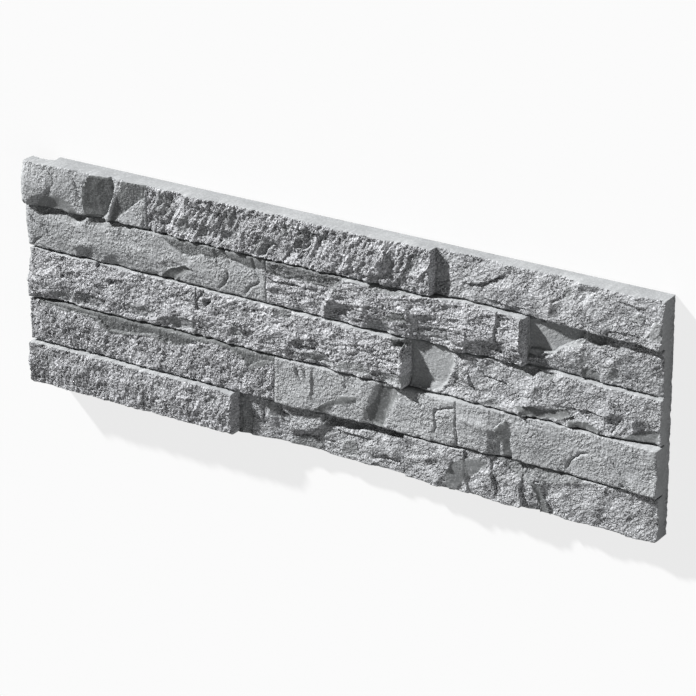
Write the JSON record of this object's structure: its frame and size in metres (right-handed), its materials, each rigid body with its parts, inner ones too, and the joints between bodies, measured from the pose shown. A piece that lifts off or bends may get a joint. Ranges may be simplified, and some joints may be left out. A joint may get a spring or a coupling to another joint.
{
  "type": "faux stone wall panel",
  "caption": "Flat-backed cast concrete wall panel with a split-face ledger stone relief in straight courses.",
  "frame": {"origin": "middle of the flat back face, which is the panel's underside as it lies stored", "axes": "+X along the stone courses, +Y up the wall when the panel is mounted, +Z out of the stone face, away from the wall"},
  "size_m": [0.375, 0.125, 0.0193],
  "materials": {
    "cast_concrete": "light grey cast concrete, split-face texture in front, smooth cast edges and back"
  },
  "bodies": {
    "root": {"stone_panel": "cast_concrete"}
  },
  "joints": []
}
